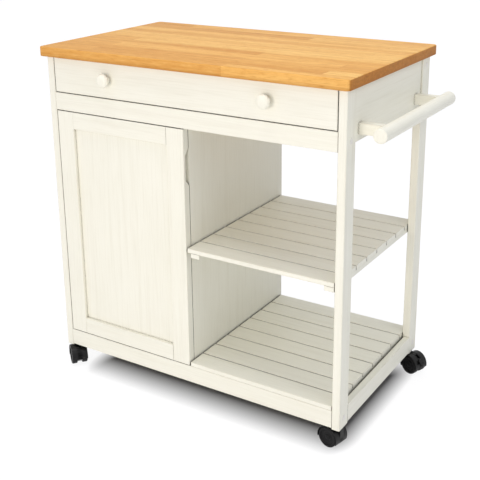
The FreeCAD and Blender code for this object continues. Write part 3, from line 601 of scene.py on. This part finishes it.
# Round towel bar with eased ends
BAR_EASING = 2.5
BAR_SIDES = 64


def make_towel_bar():
    [(low, high)] = parts_of("towel_bar")
    radius = (high[2] - low[2]) / 2
    x, y, z, length = high[0] - radius, low[1], high[2] - radius, high[1] - low[1]
    profile = arc((radius - BAR_EASING, BAR_EASING), BAR_EASING, 270, 360, 5)
    profile += arc((radius - BAR_EASING, length - BAR_EASING), BAR_EASING, 0, 90, 5)
    form = Form()
    form.turn(profile, BAR_SIDES, lambda u, v, h: (x + u, y + h, z + v))
    form.finish("turned_towel_bar", "towel_bar")


make_towel_bar()

# Domed caps over the screws: radius and height
CAP_RADIUS = 6.8
CAP_CURVE = [(CAP_RADIUS, 0.0), (CAP_RADIUS, 0.45), (6.2, 0.95), (4.4, 1.25), (2.0, 1.38), (0.5, 1.4)]
CAP_SIDES = 32


def make_caps():
    form = Form()
    for low, high in parts_of("screw_caps"):
        outward = 1 if low[0] > 0 else -1
        x = low[0] if outward > 0 else high[0]
        y, z = (low[1] + high[1]) / 2, (low[2] + high[2]) / 2
        form.turn(through(CAP_CURVE, 3), CAP_SIDES, lambda u, v, h: (x + outward * h, y + u, z + v))
    form.finish("domed_caps", "screw_caps")


make_caps()

# Grooved rollers of the drawer slides
ROLLER_BORE = 2.56
ROLLER_RIM = 2.4
ROLLER_STEP = 0.5
ROLLER_GROOVE = 0.6
ROLLER_SIDES = 48


def make_rollers(name, node, radius):
    form = Form()
    face, low_rim, seat = radius - ROLLER_RIM, radius - 2.0, radius - ROLLER_STEP
    for low, high in parts_of(node):
        x, y, z, width = low[0], (low[1] + high[1]) / 2, (low[2] + high[2]) / 2, high[0] - low[0]
        middle = width / 2
        profile = [(ROLLER_BORE, 0.0), (face, 0.0), (low_rim, ROLLER_STEP), (seat, ROLLER_STEP),
                   (radius, 1.0), (radius, middle - 2 * ROLLER_GROOVE), (seat, middle - ROLLER_GROOVE),
                   (seat, middle + ROLLER_GROOVE), (radius, middle + 2 * ROLLER_GROOVE),
                   (radius, width - 1.0), (seat, width - ROLLER_STEP), (low_rim, width - ROLLER_STEP),
                   (face, width), (ROLLER_BORE, width)]
        form.turn(profile, ROLLER_SIDES, lambda u, v, h: (x + h, y + u, z + v), ring=True)
    form.finish(name, node)


make_rollers("grooved_front_rollers", "front_slide_rollers", 9.0)
make_rollers("grooved_rear_rollers", "rear_slide_rollers", 10.0)

# Casters, in millimetres about the swivel axis, with the wheels trailing along X
TRAIL = 20.0
WHEEL_RADIUS = 25.0
WHEEL_NEAR = 7.0
WHEEL_FAR = 20.4
AXLE_RADIUS = 3.0
AXLE_REACH = 15.9
WHEEL_BORE = 3.06
WHEEL_BORE_END = 16.2
HOOD_INNER = 25.9
HOOD_OUTER = 27.7
HOOD_HALF = 20.8
HOOD_LEAD = 205.0
HOOD_TRAIL = -12.0
WEB_HALF = 6.5
WEB_FOOT_Z = 8.0
WEB_FOOT_REACH = 12.0
NECK_FRONT = -7.7
NECK_BACK = 12.0
NECK_TOP_Z = 52.7
SLOT_HALF = 3.0
SLOT_ROOT = 10.0
SLOT_START = 2.0
SLOT_END = 76.0
PAD_INNER = 28.5
PAD_THICKNESS = 2.6
PAD_HALF = 8.5
PAD_START = 6.0
PAD_END = 34.0
PIVOT_DISTANCE = 20.0
PIVOT_ANGLE = 52.0
PIVOT_RADIUS = 2.0
PIVOT_HALF = 5.3
LEVER_LIFT = 14.0
LEVER_ARM = [(16.5, 59.0), (16.5, 45.0), (29.5, 22.0), (29.5, 34.0), (23.5, 59.0)]
AXLE_CENTRE = (TRAIL, WHEEL_RADIUS)
WHEEL_SIDES = 64
AXLE_SIDES = 24
PIVOT_SIDES = 16
HOOD_STEPS = 48
HOOD_EASING = 0.5
LEVER_EASING = 0.4
GRIP_ANGLES = (9.0, 13.0, 17.0, 21.0)
GRIP_HALF_ANGLE = 0.9
GRIP_SUNK = 0.4
GRIP_PROUD = 0.5
GRIP_INSET = 1.5
LEVER_ARM_HALF = 2.5

# Half of a wheel pair's section: radius and distance from the middle
WHEEL_PROFILE = [(WHEEL_BORE, WHEEL_BORE_END), (WHEEL_BORE, WHEEL_NEAR), (23.9, WHEEL_NEAR),
                 (24.7, 7.4), (25.0, 8.3), (25.0, 12.9), (24.7, 13.3), (24.7, 13.7), (25.0, 14.1),
                 (25.0, 18.2), (24.6, 19.4), (23.6, 20.2), (22.2, WHEEL_FAR), (19.6, WHEEL_FAR),
                 (18.9, 20.1), (18.3, 18.6), (17.4, 18.1), (11.0, 17.9), (10.2, 18.3), (9.4, 18.3),
                 (8.6, 17.9), (6.6, 17.9), (6.2, 18.8), (5.4, 19.3), (2.0, 19.5)]

joints = {}
for joint in frame["joints"]:
    joints[joint["name"]] = joint


def side_view(a, b, h):
    # Side outlines lie in the X Z plane, with their thickness along Y
    return (a, h, b)


def sector(inner, outer, start, end, steps):
    return arc(AXLE_CENTRE, outer, start, end, steps) + arc(AXLE_CENTRE, inner, end, start, steps)


def on_wheel(distance, angle):
    # Point at a distance and an angle about the axle
    return arc(AXLE_CENTRE, distance, angle, angle, 1)[0]


PIVOT_X, PIVOT_Z = on_wheel(PIVOT_DISTANCE, PIVOT_ANGLE)


def lever_turn(point):
    # The lever rests lifted about its pivot
    cosine, sine = math.cos(math.radians(LEVER_LIFT)), math.sin(math.radians(LEVER_LIFT))
    x, y, z = point[0] - PIVOT_X, point[1], point[2] - PIVOT_Z
    return (PIVOT_X + x * cosine - z * sine, y, PIVOT_Z + x * sine + z * cosine)


def fill_hood(hood, braked):
    # Hood, web, neck and axle. A braked one has a slot for the lever in its middle.
    foot = [(TRAIL - WEB_FOOT_REACH, WEB_FOOT_Z), (TRAIL + WEB_FOOT_REACH, WEB_FOOT_Z)]
    web = arc(AXLE_CENTRE, HOOD_OUTER, HOOD_TRAIL, HOOD_LEAD, HOOD_STEPS) + foot
    shell = sector(HOOD_INNER, HOOD_OUTER, HOOD_TRAIL, HOOD_LEAD, HOOD_STEPS)
    if braked:
        slotted = arc(AXLE_CENTRE, HOOD_OUTER, HOOD_TRAIL, SLOT_START, 4)
        slotted += arc(AXLE_CENTRE, SLOT_ROOT, SLOT_START, SLOT_END, 12)
        slotted += arc(AXLE_CENTRE, HOOD_OUTER, SLOT_END, HOOD_LEAD, 30) + foot
        for side in (1, -1):
            hood.slab(web, side * SLOT_HALF, side * WEB_HALF, side_view)
            hood.slab(shell, side * SLOT_HALF, side * HOOD_HALF, side_view)
        hood.slab(slotted, -SLOT_HALF, SLOT_HALF, side_view)
    else:
        hood.slab(web, -WEB_HALF, WEB_HALF, side_view)
        hood.slab(shell, -HOOD_HALF, HOOD_HALF, side_view)
    neck = [(NECK_FRONT, WHEEL_RADIUS), (NECK_BACK, WHEEL_RADIUS),
            (NECK_BACK, NECK_TOP_Z), (NECK_FRONT, NECK_TOP_Z)]
    hood.slab(neck, -WEB_HALF, WEB_HALF, side_view)
    hood.turn([(AXLE_RADIUS, -AXLE_REACH), (AXLE_RADIUS, AXLE_REACH)], AXLE_SIDES,
              lambda u, v, h: (TRAIL + u, h, WHEEL_RADIUS + v))


def fill_lever(lever):
    # Pad with four grip ridges, arm and pivot
    pad_outer = PAD_INNER + PAD_THICKNESS
    pad = sector(PAD_INNER, pad_outer, PAD_START, PAD_END, 14)
    lever.slab(pad, -PAD_HALF, PAD_HALF, side_view)
    for angle in GRIP_ANGLES:
        ridge = sector(pad_outer - GRIP_SUNK, pad_outer + GRIP_PROUD,
                       angle - GRIP_HALF_ANGLE, angle + GRIP_HALF_ANGLE, 2)
        lever.slab(ridge, GRIP_INSET - PAD_HALF, PAD_HALF - GRIP_INSET, side_view)
    arm = [on_wheel(distance, angle) for distance, angle in LEVER_ARM]
    lever.slab(arm, -LEVER_ARM_HALF, LEVER_ARM_HALF, side_view)
    lever.turn([(PIVOT_RADIUS, -PIVOT_HALF), (PIVOT_RADIUS, PIVOT_HALF)], PIVOT_SIDES,
               lambda u, v, h: (PIVOT_X + u, h, PIVOT_Z + v))


def make_caster(place):
    pivot = joints["swivel_" + place]["pos_m"]
    across = Vector(joints["wheel_spin_" + place]["axis"])
    back = across.cross(Vector((0.0, 0.0, 1.0)))
    braked = place.startswith("back")

    def standing(p):
        x, y = (pivot[k] / MM + back[k] * p[0] + across[k] * p[1] for k in range(2))
        return (x, y, p[2])

    wheels = Form(standing)
    for side in (1, -1):
        wheels.turn(WHEEL_PROFILE, WHEEL_SIDES,
                    lambda u, v, h: (TRAIL + u, side * h, WHEEL_RADIUS + v))
    wheels.finish("wheels_" + place, "caster_wheels_" + place)

    hood = Form(standing)
    fill_hood(hood, braked)
    hood.finish("hood_" + place, "caster_hood_" + place, HOOD_EASING)

    if braked:
        lever = Form(lambda p: standing(lever_turn(p)))
        fill_lever(lever)
        lever.finish("lever_" + place, "caster_lever_" + place, LEVER_EASING)


for place in ("front_left", "front_right", "back_left", "back_right"):
    make_caster(place)

# Studio: floor, pale surroundings, soft lamps and camera
FLOOR_HALF = 9.0

# Light of the surroundings on the object, a little cool
AMBIENT = (0.555, 0.575, 0.625, 1.0)
WHITE = (1.0, 1.0, 1.0, 1.0)

# Name, place, aim, size, power and colour of each lamp
LAMPS = (
    ("front", (0.2, -3.0, 0.95), (0.1, 0.0, 0.58), 1.1, 29.0, (1.0, 0.925, 0.845)),
    ("above", (0.0, -0.3, 3.2), (0.0, 0.0, 0.8), 1.6, 26.0, (1.0, 1.0, 1.0)),
    ("right", (2.5, -0.6, 2.5), (0.1, 0.0, 0.4), 1.4, 12.0, (1.0, 1.0, 1.0)),
)


def lay_floor():
    mesh = bpy.data.meshes.new("studio_floor")
    corners = [(-FLOOR_HALF, -FLOOR_HALF, 0), (FLOOR_HALF, -FLOOR_HALF, 0), (FLOOR_HALF, FLOOR_HALF, 0),
               (-FLOOR_HALF, FLOOR_HALF, 0)]
    mesh.from_pydata(corners, [], [(0, 1, 2, 3)])
    mesh.materials.append(floor_white())
    floor = bpy.data.objects.new("studio_floor", mesh)
    bpy.context.scene.collection.objects.link(floor)


def light_surroundings():
    # The camera and gloss see plain white
    world = bpy.context.scene.world or bpy.data.worlds.new("studio")
    bpy.context.scene.world = world
    world.use_nodes = True
    nodes, links = world.node_tree.nodes, world.node_tree.links
    background = nodes["Background"]
    paths = nodes.new("ShaderNodeLightPath")
    seen = nodes.new("ShaderNodeMath")
    seen.operation = "MAXIMUM"
    shade = nodes.new("ShaderNodeMix")
    shade.data_type = "RGBA"
    links.new(paths.outputs["Is Camera Ray"], seen.inputs[0])
    links.new(paths.outputs["Is Glossy Ray"], seen.inputs[1])
    links.new(seen.outputs[0], shade.inputs[0])
    shade.inputs[6].default_value = AMBIENT
    shade.inputs[7].default_value = WHITE
    links.new(shade.outputs[2], background.inputs["Color"])
    background.inputs["Strength"].default_value = 1.0


def hang_lamps():
    for name, place, aim, size, power, colour in LAMPS:
        data = bpy.data.lights.new(name, "AREA")
        data.shape = "DISK"
        data.size = size
        data.energy = power
        data.color = colour
        lamp = bpy.data.objects.new(name, data)
        lamp.location = place
        lamp.rotation_mode = "QUATERNION"
        lamp.rotation_quaternion = (Vector(aim) - Vector(place)).to_track_quat("-Z", "Y")
        bpy.context.scene.collection.objects.link(lamp)


def place_camera():
    forward = Vector((-math.sin(CAMERA_YAW) * math.cos(CAMERA_PITCH),
                      math.cos(CAMERA_YAW) * math.cos(CAMERA_PITCH), -math.sin(CAMERA_PITCH)))
    level_right = Vector((math.cos(CAMERA_YAW), math.sin(CAMERA_YAW), 0.0))
    level_up = level_right.cross(forward)
    right = math.cos(CAMERA_ROLL) * level_right + math.sin(CAMERA_ROLL) * level_up
    up = -math.sin(CAMERA_ROLL) * level_right + math.cos(CAMERA_ROLL) * level_up
    data = bpy.data.cameras.new("camera")
    data.sensor_width = SENSOR_MM
    data.lens = FOCAL_PIXELS / FRAME_PIXELS * SENSOR_MM
    data.shift_x = (FRAME_PIXELS / 2 - CENTRE_COLUMN) / FRAME_PIXELS
    data.shift_y = (CENTRE_ROW - FRAME_PIXELS / 2) / FRAME_PIXELS
    camera = bpy.data.objects.new("camera", data)
    camera.matrix_world = Matrix((
        (right.x, up.x, -forward.x, CAMERA_PLACE[0]),
        (right.y, up.y, -forward.y, CAMERA_PLACE[1]),
        (right.z, up.z, -forward.z, CAMERA_PLACE[2]),
        (0.0, 0.0, 0.0, 1.0),
    ))
    bpy.context.scene.collection.objects.link(camera)
    bpy.context.scene.camera = camera


lay_floor()
light_surroundings()
hang_lamps()
place_camera()
bpy.context.scene.view_settings.view_transform = "Standard"
